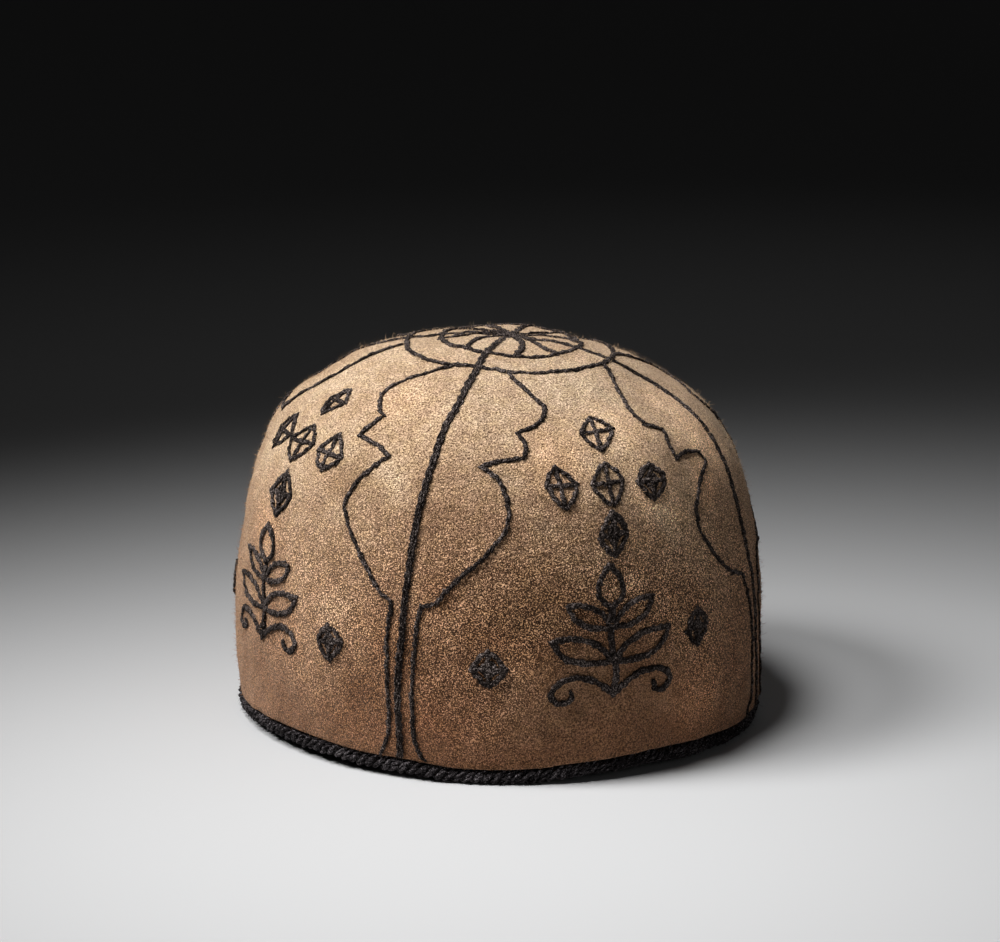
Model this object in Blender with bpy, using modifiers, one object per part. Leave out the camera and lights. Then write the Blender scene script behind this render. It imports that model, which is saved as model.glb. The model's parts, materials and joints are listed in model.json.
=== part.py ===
"""A dervish's felt cap: one moulded felt dome, open below, with a wool cord sewn round its rim
and four wool cords laid over it from the crown to the rim, which part it into four panels.

Run it with blender --background --python part.py, or from Blender's text editor. It works in
metres, +Z up. The cap stands on z = 0 with its origin in the middle of the rim, and its front
is towards -Y. Azimuths are in degrees from the front, positive towards +X.
"""

import math

import bmesh
import bpy
from mathutils import Vector

# The felt dome, in metres
CAP_HEIGHT = 0.1350  # from the surface that the rim rests on to the top of the crown
CAP_WIDTH = 0.1894  # the felt's outer diameter where it is widest
FELT_THICKNESS = 0.0030
CROWN_LEAN = 0.0044  # how far the top of the crown stands over towards -X
RIM_STRETCH = 0.0020  # how far the rim is drawn out along its long direction
STRETCH_AZIMUTH = 50.0  # degrees, the direction in which the rim is drawn out
RIM_LIFT = 0.0025  # how high the rim stands off the surface where it waves up most

# The cords, in metres
RIM_CORD_THICKNESS = 0.0056
RIM_CORD_FLAT = 0.0003  # how much of the rim cord's underside is pressed flat
RIM_CORD_SETBACK = 0.0005  # how far the rim cord lies inside the middle of the felt wall
SEAM_CORD_WIDTH = 0.0029
SEAM_CORD_THICKNESS = 0.0016
SEAM_CORD_START = 0.0045  # from the point where the panels meet to a seam cord's upper end
MEETING_OFFSET_X = 0.0085  # the panels' meeting point, from the top of the leaning crown
MEETING_OFFSET_Y = 0.0015
SEAT_CLEARANCE = 0.0003  # between a cord and the felt that it is sewn to

# How finely the round forms are divided
FELT_STEPS_AROUND = 64
PROFILE_STEPS = 2
RIM_STEPS_AROUND = 96
RIM_CORD_SIDES = 10
SEAM_CORD_SIDES = 8
SEAM_STEPS = 30

# One row for each level section of the felt's outer surface, from the rim up. Height is a share
# of the felt's own rise, radius a share of half the cap's width. Lean, stretch and lift are the
# shares of CROWN_LEAN, RIM_STRETCH and RIM_LIFT that the section takes.
SECTIONS = (
    # height, radius, lean, stretch, lift
    (0.000, 0.987, 0.00, 1.00, 1.00),
    (0.111, 0.996, 0.00, 1.00, 0.75),
    (0.235, 1.000, 0.00, 0.90, 0.40),
    (0.360, 0.990, 0.00, 0.75, 0.10),
    (0.480, 0.967, 0.00, 0.60, 0.00),
    (0.600, 0.935, 0.00, 0.45, 0.00),
    (0.700, 0.891, 0.02, 0.30, 0.00),
    (0.785, 0.823, 0.15, 0.20, 0.00),
    (0.850, 0.735, 0.35, 0.10, 0.00),
    (0.900, 0.621, 0.53, 0.00, 0.00),
    (0.942, 0.505, 0.72, 0.00, 0.00),
    (0.969, 0.398, 0.85, 0.00, 0.00),
    (0.987, 0.302, 0.93, 0.00, 0.00),
    (0.997, 0.152, 0.98, 0.00, 0.00),
    (1.000, 0.000, 1.00, 0.00, 0.00),
)

# How the rim waves off the surface: one row for each turn of the wave, all the way round. It
# rests at the front, at the right, at the back and at the left.
RIM_WAVE = (
    # azimuth, share of RIM_LIFT
    (-180.0, 0.00),
    (-168.0, 0.00),
    (-145.0, 0.50),
    (-122.0, 0.30),
    (-106.0, 0.00),
    (-96.0, 0.00),
    (-80.0, 0.35),
    (-62.0, 1.00),
    (-46.0, 0.95),
    (-24.0, 0.60),
    (-6.0, 0.00),
    (6.0, 0.00),
    (18.0, 0.70),
    (31.0, 1.00),
    (48.0, 0.55),
    (64.0, 0.00),
    (76.0, 0.00),
    (98.0, 0.45),
    (122.0, 0.70),
    (150.0, 0.40),
    (168.0, 0.00),
    (180.0, 0.00),
)

# The four seam cords. Each leaves the meeting point at its crown azimuth, and passes the
# shoulder, the waist and the rim at the others.
SEAMS = (
    # name, crown, shoulder, waist and rim azimuth
    ("front", -14.5, -15.5, -20.0, -21.0),
    ("right", 64.0, 69.0, 70.0, 74.0),
    ("back", 161.0, 162.0, 163.0, 165.0),
    ("left", -106.0, -107.0, -108.0, -109.0),
)
SEAM_SHARES = (0.0, 0.43, 0.72, 1.0)  # where those four places lie, from the meeting point down

FELT_COLOUR = (0.36, 0.23, 0.12, 1.0)
CORD_COLOUR = (0.012, 0.012, 0.016, 1.0)

half_width = CAP_WIDTH / 2
felt_edge_height = RIM_CORD_THICKNESS - RIM_CORD_FLAT + SEAT_CLEARANCE
felt_rise = CAP_HEIGHT - felt_edge_height
rim_outer_radius = half_width * SECTIONS[0][1]
rim_cord_radius = rim_outer_radius - FELT_THICKNESS / 2 - RIM_CORD_SETBACK


def clear_scene():
    for obj in list(bpy.data.objects):
        bpy.data.objects.remove(obj, do_unlink=True)


def between(rows, where, column):
    """The value of one column at a place between two rows, in a straight line from row to row."""
    if where <= rows[0][0]:
        return rows[0][column]
    for low, high in zip(rows, rows[1:]):
        if where <= high[0]:
            share = (where - low[0]) / (high[0] - low[0])
            return low[column] + (high[column] - low[column]) * share
    return rows[-1][column]


def eased(rows, where, column):
    """The same, but with a level start and end at each row, as a wave has."""
    if where <= rows[0][0]:
        return rows[0][column]
    for low, high in zip(rows, rows[1:]):
        if where <= high[0]:
            share = (where - low[0]) / (high[0] - low[0])
            share = share * share * (3 - 2 * share)
            return low[column] + (high[column] - low[column]) * share
    return rows[-1][column]


def profile(steps):
    """(height share, radius share) down a smooth curve through the section table, from the rim up."""
    rows = [(row[0], row[1]) for row in SECTIONS]
    before = tuple(2 * a - b for a, b in zip(rows[0], rows[1]))
    beyond = (rows[-2][0], -rows[-2][1])
    points = [before, *rows, beyond]
    curve = []
    for i in range(1, len(points) - 2):
        p0, p1, p2, p3 = points[i - 1 : i + 3]
        for step in range(steps):
            t = step / steps
            curve.append(
                tuple(
                    0.5 * (2 * b + (c - a) * t + (2 * a - 5 * b + 4 * c - d) * t * t
                           + (3 * b - 3 * c + d - a) * t * t * t)
                    for a, b, c, d in zip(p0, p1, p2, p3)
                )
            )
    curve.append(rows[-1])
    return curve


def azimuth_of(point):
    return math.degrees(math.atan2(point.x, -point.y))


def lift_at(azimuth):
    return RIM_LIFT * eased(RIM_WAVE, azimuth, 1)


def stretch_at(azimuth):
    return RIM_STRETCH * math.cos(2 * math.radians(azimuth - STRETCH_AZIMUTH))


def shaped(round_point):
    """Moves a point of the plain round dome to its place on the leaning, stretched and waving one."""
    share = (round_point.z - felt_edge_height) / felt_rise
    azimuth = azimuth_of(round_point)
    outward = Vector((round_point.x, round_point.y, 0.0))
    radius = outward.length
    if radius > 0:
        outward *= 1 + stretch_at(azimuth) * between(SECTIONS, share, 3) / radius
    outward.x -= CROWN_LEAN * between(SECTIONS, share, 2)
    outward.z = round_point.z + lift_at(azimuth) * between(SECTIONS, share, 4)
    return outward


def radius_and_height(share, curve):
    """The round dome's radius and height at a share of the way along its profile, from the crown down."""
    lengths = [0.0]
    for a, b in zip(curve[::-1], curve[-2::-1]):
        step = math.hypot((a[0] - b[0]) * felt_rise, (a[1] - b[1]) * half_width)
        lengths.append(lengths[-1] + step)
    rows = [
        (length / lengths[-1], point[1] * half_width, felt_edge_height + point[0] * felt_rise)
        for length, point in zip(lengths, curve[::-1])
    ]
    return between(rows, share, 1), between(rows, share, 2)


def on_felt(azimuth, share, curve):
    """A point of the felt's outer surface. Near the crown it is measured from the meeting point."""
    radius, _ = radius_and_height(share, curve)
    angle = math.radians(azimuth)
    fade = max(0.0, 1 - (radius / (0.85 * half_width)) ** 2)
    x = radius * math.sin(angle) + MEETING_OFFSET_X * fade
    y = -radius * math.cos(angle) + MEETING_OFFSET_Y * fade
    plan_radius = math.hypot(x, y)
    rows = [(point[1] * half_width, felt_edge_height + point[0] * felt_rise) for point in curve[::-1]]
    top_rows = rows[: max(range(len(rows)), key=lambda i: rows[i][0]) + 1]
    if fade > 0:
        height = between(top_rows, plan_radius, 1)
    else:
        _, height = radius_and_height(share, curve)
    return shaped(Vector((x, y, height)))


def material(name, colour, roughness):
    made = bpy.data.materials.new(name)
    made.use_nodes = True
    shader = made.node_tree.nodes["Principled BSDF"]
    shader.inputs["Base Color"].default_value = colour
    shader.inputs["Roughness"].default_value = roughness
    shader.inputs["Metallic"].default_value = 0.0
    return made


def new_object(name, data, collection, finish):
    obj = bpy.data.objects.new(name, data)
    collection.objects.link(obj)
    data.materials.append(finish)
    return obj


def turned(points, steps, closed):
    """A bmesh of the section through these (radius, height) points, turned once round the Z axis."""
    mesh = bmesh.new()
    verts = [mesh.verts.new((0.0, -radius, height)) for radius, height in points]
    edges = [mesh.edges.new(pair) for pair in zip(verts, verts[1:])]
    if closed:
        edges.append(mesh.edges.new((verts[-1], verts[0])))
    bmesh.ops.spin(
        mesh, geom=verts + edges, cent=(0, 0, 0), axis=(0, 0, 1), angle=math.tau, steps=steps,
        use_merge=True,
    )
    bmesh.ops.remove_doubles(mesh, verts=mesh.verts, dist=1e-7)
    bmesh.ops.recalc_face_normals(mesh, faces=mesh.faces)
    return mesh


def to_mesh(made, name):
    data = bpy.data.meshes.new(name)
    made.to_mesh(data)
    made.free()
    data.shade_smooth()
    return data


def felt_cap(collection, curve, finish):
    """The dome: its outer surface, turned and then shaped, with the felt's thickness inside it."""
    points = [(share_r * half_width, felt_edge_height + share_h * felt_rise) for share_h, share_r in curve]
    dome = turned(points, FELT_STEPS_AROUND, closed=False)
    top = max(dome.faces, key=lambda face: face.calc_center_median().z)
    if top.normal.z < 0:
        bmesh.ops.reverse_faces(dome, faces=dome.faces)
    for vert in dome.verts:
        vert.co = shaped(vert.co)
    obj = new_object("felt_cap", to_mesh(dome, "felt_cap"), collection, finish)
    wall = obj.modifiers.new("felt wall", "SOLIDIFY")
    wall.thickness = FELT_THICKNESS
    wall.offset = -1.0
    wall.use_even_offset = True
    return obj


def rim_cord(collection, finish):
    """The cord under the felt's edge. It waves with the edge, and its underside is pressed flat."""
    half = RIM_CORD_THICKNESS / 2
    points = []
    for side in range(RIM_CORD_SIDES):
        angle = math.tau * (side + 0.5) / RIM_CORD_SIDES - math.pi / 2
        height = half + half * math.sin(angle) / math.cos(math.pi / RIM_CORD_SIDES)
        height = min(max(height, RIM_CORD_FLAT), RIM_CORD_THICKNESS) - RIM_CORD_FLAT
        points.append((rim_cord_radius + half * math.cos(angle), height))
    ring = turned(points, RIM_STEPS_AROUND, closed=True)
    for vert in ring.verts:
        azimuth = azimuth_of(vert.co)
        outward = Vector((vert.co.x, vert.co.y, 0.0))
        outward *= 1 + stretch_at(azimuth) / outward.length
        outward.z = vert.co.z + lift_at(azimuth)
        vert.co = outward
    return new_object("rim_cord", to_mesh(ring, "rim_cord"), collection, finish)


def seam_cord_section():
    """The flat oval that the seam cords have across them: a guide, which is no piece itself."""
    data = bpy.data.curves.new("seam_cord_section", "CURVE")
    data.dimensions = "2D"
    spline = data.splines.new("POLY")
    spline.use_cyclic_u = True
    spline.points.add(SEAM_CORD_SIDES - 1)
    for side, point in enumerate(spline.points):
        angle = -math.tau * (side + 0.5) / SEAM_CORD_SIDES
        corner = math.cos(math.pi / SEAM_CORD_SIDES)
        across = SEAM_CORD_WIDTH / 2 * math.cos(angle) / corner
        up = SEAM_CORD_THICKNESS / 2 * math.sin(angle) / corner
        point.co = (across, up, 0.0, 1.0)
    guides = bpy.data.collections.new("guides")
    bpy.context.scene.collection.children.link(guides)
    obj = bpy.data.objects.new("seam_cord_section", data)
    obj.hide_render = True
    obj.display_type = "WIRE"
    guides.objects.link(obj)
    return obj


def seam_cord(collection, curve, seam, section, finish):
    """A cord laid on the felt from the meeting point of the panels down to the rim."""
    name, *azimuths = seam
    azimuth_rows = tuple(zip(SEAM_SHARES, azimuths))
    arc = sum(
        math.hypot((a[0] - b[0]) * felt_rise, (a[1] - b[1]) * half_width)
        for a, b in zip(curve, curve[1:])
    )
    first = SEAM_CORD_START / arc
    offset = SEAM_CORD_THICKNESS / 2 + SEAT_CLEARANCE
    route = []
    for step in range(SEAM_STEPS + 1):
        share = first + (1 - first) * step / SEAM_STEPS
        azimuth = eased(azimuth_rows, share, 1)
        here = on_felt(azimuth, share, curve)
        down = on_felt(azimuth, min(share + 0.01, 1.0), curve) - on_felt(azimuth, share - 0.01, curve)
        across = on_felt(azimuth + 2, share, curve) - on_felt(azimuth - 2, share, curve)
        route.append(here + across.cross(down).normalized() * -offset)
    data = bpy.data.curves.new("seam_cord_" + name, "CURVE")
    data.dimensions = "3D"
    data.bevel_mode = "OBJECT"
    data.bevel_object = section
    data.use_fill_caps = True
    spline = data.splines.new("POLY")
    spline.points.add(len(route) - 1)
    for point, place in zip(spline.points, route):
        point.co = (*place, 1.0)
    return new_object("seam_cord_" + name, data, collection, finish)


def main():
    clear_scene()
    collection = bpy.data.collections.new("dervish_hat")
    bpy.context.scene.collection.children.link(collection)
    curve = profile(PROFILE_STEPS)
    felt_cap(collection, curve, material("wool felt", FELT_COLOUR, 0.95))
    rim_cord(collection, material("rim cord wool", CORD_COLOUR, 0.85))
    section = seam_cord_section()
    for seam in SEAMS:
        finish = material("seam cord wool, " + seam[0], CORD_COLOUR, 0.85)
        seam_cord(collection, curve, seam, section, finish)


main()
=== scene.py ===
# %% [markdown]
# # A dervish's felt cap
# The cap is one piece of wool felt, moulded over a block into a dome. A thick black wool cord
# is sewn round its rim. Four thinner cords run from the crown to the rim and part it into four
# panels. Each panel is embroidered in black wool: a rosette at the crown, cusped outlines beside
# the cords, small diamonds, and one leaf sprig.
#
# We build it as a maker would: the felt first, then the cords laid on it, then the stitches, and
# the loose fibres last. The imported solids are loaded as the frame, and each soft piece here
# stands for one of them.

import json
import math
from types import SimpleNamespace

import bpy
import numpy as np
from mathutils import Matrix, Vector
from mathutils.bvhtree import BVHTree

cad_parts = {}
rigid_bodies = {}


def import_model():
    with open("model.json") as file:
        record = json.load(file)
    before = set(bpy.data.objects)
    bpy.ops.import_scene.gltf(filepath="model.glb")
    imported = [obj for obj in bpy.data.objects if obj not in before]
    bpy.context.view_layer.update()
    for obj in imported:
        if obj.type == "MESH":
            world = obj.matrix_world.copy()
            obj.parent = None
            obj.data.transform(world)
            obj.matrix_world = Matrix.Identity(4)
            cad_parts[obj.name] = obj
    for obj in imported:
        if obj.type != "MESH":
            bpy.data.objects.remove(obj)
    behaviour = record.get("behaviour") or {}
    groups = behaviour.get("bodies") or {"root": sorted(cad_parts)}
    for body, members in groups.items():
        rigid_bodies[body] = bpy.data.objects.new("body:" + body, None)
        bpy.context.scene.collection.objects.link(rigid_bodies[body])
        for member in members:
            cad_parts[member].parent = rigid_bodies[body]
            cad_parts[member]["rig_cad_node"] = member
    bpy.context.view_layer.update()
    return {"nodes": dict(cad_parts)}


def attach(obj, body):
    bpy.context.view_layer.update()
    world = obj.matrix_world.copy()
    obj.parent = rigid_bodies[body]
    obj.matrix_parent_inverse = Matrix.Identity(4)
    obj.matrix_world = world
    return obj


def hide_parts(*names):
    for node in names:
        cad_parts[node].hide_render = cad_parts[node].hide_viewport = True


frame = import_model()
print("solids:", sorted(frame["nodes"]))

# %% [markdown]
# ## The camera
# The photograph was taken with a long lens, from a little above the cap. A lens of 110 mm on a
# 36 mm sensor, 1.1 m away and tipped down by 14 degrees, gives the same outline.

# %% Camera
CAMERA_PLACE = (0.0008, -1.0608, 0.3510)
CAMERA_TIP = 75.96  # degrees from looking straight down
LENS = 109.57  # mm

camera_data = bpy.data.cameras.new("camera")
camera_data.sensor_fit = "HORIZONTAL"
camera_data.sensor_width = 36.0
camera_data.lens = LENS
camera = bpy.data.objects.new("camera", camera_data)
camera.location = CAMERA_PLACE
camera.rotation_euler = (math.radians(CAMERA_TIP), 0.0, 0.0)
bpy.context.scene.collection.objects.link(camera)
bpy.context.scene.camera = camera

# %% [markdown]
# ## The dome
# A felt cap has no seam of its own. Its shape is a curve turned round an axis, then pulled a
# little by use: the crown leans, the rim is oval and waves off the table. We write the curve as
# a table of level sections. Every other piece is placed on this surface, so we want two
# functions: one for a point of the dome by its azimuth and its way down from the top, and one
# for a point measured from where the four panels meet, which is beside the top.

# %% Sizes of the felt, in metres
CAP_HEIGHT = 0.1350
CAP_WIDTH = 0.1894
FELT_THICKNESS = 0.0030
CROWN_LEAN = 0.0044
RIM_STRETCH = 0.0020
STRETCH_AZIMUTH = 50.0
RIM_LIFT = 0.0025
RIM_CORD_THICKNESS = 0.0056
RIM_CORD_FLAT = 0.0003
RIM_CORD_SETBACK = 0.0005
SEAT_CLEARANCE = 0.0003
MEETING_OFFSET_X = 0.0085
MEETING_OFFSET_Y = 0.0015
MEETING_REACH = 0.85  # share of the half width over which that offset fades

SECTIONS = np.array((
    # height, radius, lean, stretch and lift, each a share of the whole
    (0.000, 0.987, 0.00, 1.00, 1.00),
    (0.111, 0.996, 0.00, 1.00, 0.75),
    (0.235, 1.000, 0.00, 0.90, 0.40),
    (0.360, 0.990, 0.00, 0.75, 0.10),
    (0.480, 0.967, 0.00, 0.60, 0.00),
    (0.600, 0.935, 0.00, 0.45, 0.00),
    (0.700, 0.891, 0.02, 0.30, 0.00),
    (0.785, 0.823, 0.15, 0.20, 0.00),
    (0.850, 0.735, 0.35, 0.10, 0.00),
    (0.900, 0.621, 0.53, 0.00, 0.00),
    (0.942, 0.505, 0.72, 0.00, 0.00),
    (0.969, 0.398, 0.85, 0.00, 0.00),
    (0.987, 0.302, 0.93, 0.00, 0.00),
    (0.997, 0.152, 0.98, 0.00, 0.00),
    (1.000, 0.000, 1.00, 0.00, 0.00),
))
RIM_WAVE = np.array((
    # azimuth in degrees from the front, share of RIM_LIFT
    (-180, 0.0), (-168, 0.0), (-145, 0.5), (-122, 0.3), (-106, 0.0), (-96, 0.0), (-80, 0.35),
    (-62, 1.0), (-46, 0.95), (-24, 0.6), (-6, 0.0), (6, 0.0), (18, 0.7), (31, 1.0), (48, 0.55),
    (64, 0.0), (76, 0.0), (98, 0.45), (122, 0.7), (150, 0.4), (168, 0.0), (180, 0.0),
))

half_width = CAP_WIDTH / 2
felt_edge_height = RIM_CORD_THICKNESS - RIM_CORD_FLAT + SEAT_CLEARANCE
felt_rise = CAP_HEIGHT - felt_edge_height
rim_cord_radius = half_width * SECTIONS[0, 1] - FELT_THICKNESS / 2 - RIM_CORD_SETBACK

# %% The curve that is turned
PROFILE_STEPS = 16


def profile_curve():
    """Height and radius shares along a smooth curve through the sections, from the crown down."""
    rows = SECTIONS[:, :2]
    before = 2 * rows[0] - rows[1]
    beyond = rows[-2] * (1, -1)
    points = np.vstack([before, rows, beyond])
    t = np.arange(PROFILE_STEPS)[:, None] / PROFILE_STEPS
    spans = []
    for a, b, c, d in zip(points, points[1:], points[2:], points[3:]):
        straight = 2 * b + (c - a) * t
        bend = (2 * a - 5 * b + 4 * c - d) * t**2 + (3 * b - 3 * c + d - a) * t**3
        spans.append(0.5 * (straight + bend))
    return np.vstack([*spans, rows[-1:]])[::-1]


curve = profile_curve()
curve_radius = curve[:, 1] * half_width
curve_height = felt_edge_height + curve[:, 0] * felt_rise
curve_steps = np.hypot(np.diff(curve_radius), np.diff(curve_height))
curve_down = np.concatenate([[0.0], np.cumsum(curve_steps)])
widest = int(np.argmax(curve_radius))
FELT_LENGTH = curve_down[-1]
print("crown to rim along the felt:", round(1000 * FELT_LENGTH, 1), "mm")

# %% Points of the dome


def waved(rows, where):
    """The value between two rows, with a level start and end at each row, as a wave has."""
    first = np.clip(np.searchsorted(rows[:, 0], where, side="right") - 1, 0, len(rows) - 2)
    share = (where - rows[first, 0]) / (rows[first + 1, 0] - rows[first, 0])
    share = np.clip(share, 0, 1) ** 2 * (3 - 2 * np.clip(share, 0, 1))
    return rows[first, 1] + (rows[first + 1, 1] - rows[first, 1]) * share


def rim_lift(azimuth):
    return RIM_LIFT * waved(RIM_WAVE, (np.asarray(azimuth) + 180) % 360 - 180)


def rim_stretch(azimuth):
    return RIM_STRETCH * np.cos(2 * np.radians(azimuth - STRETCH_AZIMUTH))


def pulled(x, y, height):
    """The worn cap's point for a point of the plain round dome."""
    share = (height - felt_edge_height) / felt_rise
    azimuth = np.degrees(np.arctan2(x, -y))
    lean, stretch, lift = (np.interp(share, SECTIONS[:, 0], SECTIONS[:, i]) for i in (2, 3, 4))
    wider = 1 + rim_stretch(azimuth) * stretch / np.maximum(np.hypot(x, y), 1e-3)
    z = height + rim_lift(azimuth) * lift
    return np.stack([x * wider - CROWN_LEAN * lean, y * wider, z], axis=-1)


def dome(azimuth, down):
    """A point of the dome, down metres along the felt from its top."""
    radius = np.interp(down, curve_down, curve_radius)
    height = np.interp(down, curve_down, curve_height)
    angle = np.radians(azimuth)
    return pulled(radius * np.sin(angle), -radius * np.cos(angle), height)


def panels(azimuth, down):
    """A point of the dome, measured from the place where the four panels meet."""
    azimuth, down = np.asarray(azimuth, float), np.asarray(down, float)
    radius = np.interp(down, curve_down, curve_radius)
    angle = np.radians(azimuth)
    fade = np.maximum(0, 1 - (radius / (MEETING_REACH * half_width)) ** 2)
    fade *= down < curve_down[widest]
    x = radius * np.sin(angle) + MEETING_OFFSET_X * fade
    y = -radius * np.cos(angle) + MEETING_OFFSET_Y * fade
    near = np.interp(np.hypot(x, y), curve_radius[:widest], curve_height[:widest])
    height = np.where(fade > 0, near, np.interp(down, curve_down, curve_height))
    return pulled(x, y, height)


# %% [markdown]
# ## Finishes
# There are three: the felt, the loose fibres that stand off it, and the black wool. All are
# made of nodes that read Object coordinates, in metres, so a pattern keeps its real size. The
# helpers let us write a tree as sums: a Value is a node's output, and each + or * adds a node.

# %% Helpers for node trees


class Value:
    """A node's output. Sums of it are written with + - * and /, and each adds a node."""

    def __init__(self, socket):
        self.socket = socket
        self.tree = socket.id_data
        self.is_vector = socket.type in ("VECTOR", "RGBA")

    def __add__(self, other):
        return worked("ADD", self, other)

    def __sub__(self, other):
        return worked("SUBTRACT", self, other)

    def __rsub__(self, other):
        return worked("SUBTRACT", other, self)

    def __mul__(self, other):
        return worked("SCALE" if self.is_vector else "MULTIPLY", self, other)

    def __truediv__(self, other):
        return worked("DIVIDE", self, other)

    __radd__ = __add__
    __rmul__ = __mul__


def shown(sockets, which):
    """The socket with this name, or this number, among those that a node shows."""
    sockets = [socket for socket in sockets if socket.enabled]
    return sockets[which] if isinstance(which, int) else next(s for s in sockets if s.name == which)


def node(tree, kind, inputs=None, **settings):
    """Adds a node. inputs is {name or number: a plain value or a Value}."""
    made = tree.nodes.new(kind)
    for name, setting in settings.items():
        setattr(made, name, setting)
    for which, value in (inputs or {}).items():
        socket = shown(made.inputs, which)
        if isinstance(value, Value):
            tree.links.new(value.socket, socket)
        else:
            socket.default_value = value
    return made


def out(made, which=0):
    return Value(shown(made.outputs, which))


def result(tree, kind, inputs=None, **settings):
    """Adds a node and gives its first output."""
    return out(node(tree, kind, inputs, **settings))


def worked(operation, *values):
    """The result of a Math node, or of a Vector Math node where the values are vectors."""
    known = next(value for value in values if isinstance(value, Value))
    kind = "ShaderNodeVectorMath" if known.is_vector else "ShaderNodeMath"
    return result(known.tree, kind, dict(enumerate(values)), operation=operation)


def noise(where, per_metre, detail=2.0, roughness=0.5, which="Fac"):
    inputs = {"Vector": where, "Scale": per_metre, "Detail": detail, "Roughness": roughness}
    return out(node(where.tree, "ShaderNodeTexNoise", inputs), which)


def ramp(factor, *stops):
    """Maps a number to colours. Each stop is (place, colour)."""
    made = node(factor.tree, "ShaderNodeValToRGB", {"Fac": factor})
    while len(made.color_ramp.elements) < len(stops):
        made.color_ramp.elements.new(0.5)
    for element, (place, colour) in zip(made.color_ramp.elements, stops):
        element.position = place
        element.color = (*colour, 1.0)
    return out(made, "Color")


def ranged(value, start, end, low, high, way="LINEAR"):
    """Maps start to low and end to high, and holds the value there beyond them."""
    inputs = {"Value": value, "From Min": start, "From Max": end, "To Min": low, "To Max": high}
    return result(value.tree, "ShaderNodeMapRange", inputs, interpolation_type=way)


def mixed(factor, a, b, blend="MIX"):
    inputs = {"Factor": factor, "A": a, "B": b}
    return result(a.tree, "ShaderNodeMix", inputs, data_type="RGBA", blend_type=blend)


def tinted(colour, by):
    return mixed(1.0, colour, by, "MULTIPLY")


def away_from(where, azimuth, down):
    """How far a point is from a place on the felt, down millimetres from the meeting point."""
    place = tuple(panels(azimuth, down / 1000))
    return worked("DISTANCE", where, place)


def part_of(vector, letter):
    return out(node(vector.tree, "ShaderNodeSeparateXYZ", {"Vector": vector}), letter)


def new_finish(name, roughness, sheen, sheen_roughness, sheen_tint, specular):
    """A matt finish. Returns the material and the object's coordinates in its tree."""
    finish = bpy.data.materials.new(name)
    finish.use_nodes = True
    shader = finish.node_tree.nodes["Principled BSDF"]
    shader.inputs["Roughness"].default_value = roughness
    shader.inputs["Sheen Weight"].default_value = sheen
    shader.inputs["Sheen Roughness"].default_value = sheen_roughness
    shader.inputs["Sheen Tint"].default_value = (*sheen_tint, 1.0)
    shader.inputs["Specular IOR Level"].default_value = specular
    return finish, out(node(finish.node_tree, "ShaderNodeTexCoord"), "Object")


def painted(finish, colour, height=None, depth=None):
    """Gives a finish its colour, and a bump of this depth where there is a height."""
    tree = finish.node_tree
    shader = tree.nodes["Principled BSDF"]
    tree.links.new(colour.socket, shader.inputs["Base Color"])
    if height is not None:
        inputs = {"Height": height, "Distance": depth, "Strength": 1.0}
        tree.links.new(result(tree, "ShaderNodeBump", inputs).socket, shader.inputs["Normal"])
    return finish


# %% [markdown]
# Felt is matted wool. It has no gloss, and a soft bloom where we look along it, which is sheen.
# We paint it in layers. First come slow clouds of light and dark, and a tint by height: darker
# and browner near the rim, partly from handling and partly painted shade, and lighter at the
# crown, painted light. Then soft patches of painted light and shade, with some of the felt's own
# uneven tone, lighten or darken single places, and three small stains lie on top. The grain is
# finer than a millimetre. Its lumps are painted with shading as if lit from the side: little at
# the crown, most lower down and to the right, and little again at one calm spot near the rim.

# %% The felt's colours
FELT_LIGHT = (0.44, 0.335, 0.228)
FELT_MIDDLE = (0.325, 0.222, 0.142)
FELT_DARK = (0.165, 0.100, 0.060)
CLOUDS = (26.0, 0.55)  # how many a metre, and their share in the mottling
BLOTCHES = (130.0, 0.45)
CLOUDY_HEIGHT = 0.05  # how far the clouds move the tints by height, in metres
TINT_TOP = 0.14  # the height in metres at which the tables by height end
# Darker and browner towards the rim, partly from handling and partly painted shade; lighter at the
# crown, painted light from above.
HEIGHT_WEAR_AND_SHADE = (
    # height in metres, and what the colour is multiplied by there
    (0.015, (0.55, 0.385, 0.31)),
    (0.050, (0.72, 0.58, 0.50)),
    (0.085, (0.88, 0.80, 0.745)),
    (0.110, (1.02, 1.02, 1.01)),
    (0.135, (1.09, 1.12, 1.15)),
)
# Painted light and shade, with some of the felt's own uneven tone: each patch lightens or darkens
# one soft place.
LIGHT_AND_TONE_PATCHES = (
    # azimuth, mm down from the meeting point, radius in mm, and what the colour is multiplied by
    (9, 131, 23, 0.46), (0, 144, 20, 0.62), (-20, 150, 18, 0.52), (-37, 94, 14, 0.58),
    (-30, 98, 10, 0.80), (-47, 120, 12, 0.88), (-12, 128, 13, 0.68), (-39, 123, 14, 0.78),
    (-30, 166, 15, 0.64), (44, 135, 16, 0.74), (-61, 70, 10, 0.88), (2, 27, 10, 0.80),
    (16, 84, 20, 1.66), (38, 99, 15, 1.95), (62, 64, 14, 1.45), (55, 102, 12, 1.75),
    (44, 108, 9, 1.50), (28, 113, 8, 1.40), (-50, 93, 12, 0.84), (10, 153, 11, 0.66),
    (17, 112, 11, 0.80), (27, 126, 13, 1.40), (35, 74, 20, 1.50), (63, 87, 22, 2.05),
    (44, 176, 22, 1.62), (22, 179, 16, 1.15), (-35, 63, 14, 1.40), (-64, 121, 16, 1.50),
    (-16, 174, 12, 1.45), (-50, 156, 14, 1.15), (-33, 190, 16, 0.88),
)
PATCH_WARMTH = (
    # half of what the patches multiply the colour by, and the tint that goes with it
    (0.20, (1.12, 0.97, 0.82)), (0.50, (1.0, 1.0, 1.0)), (0.95, (1.0, 0.99, 0.98)),
)
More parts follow.
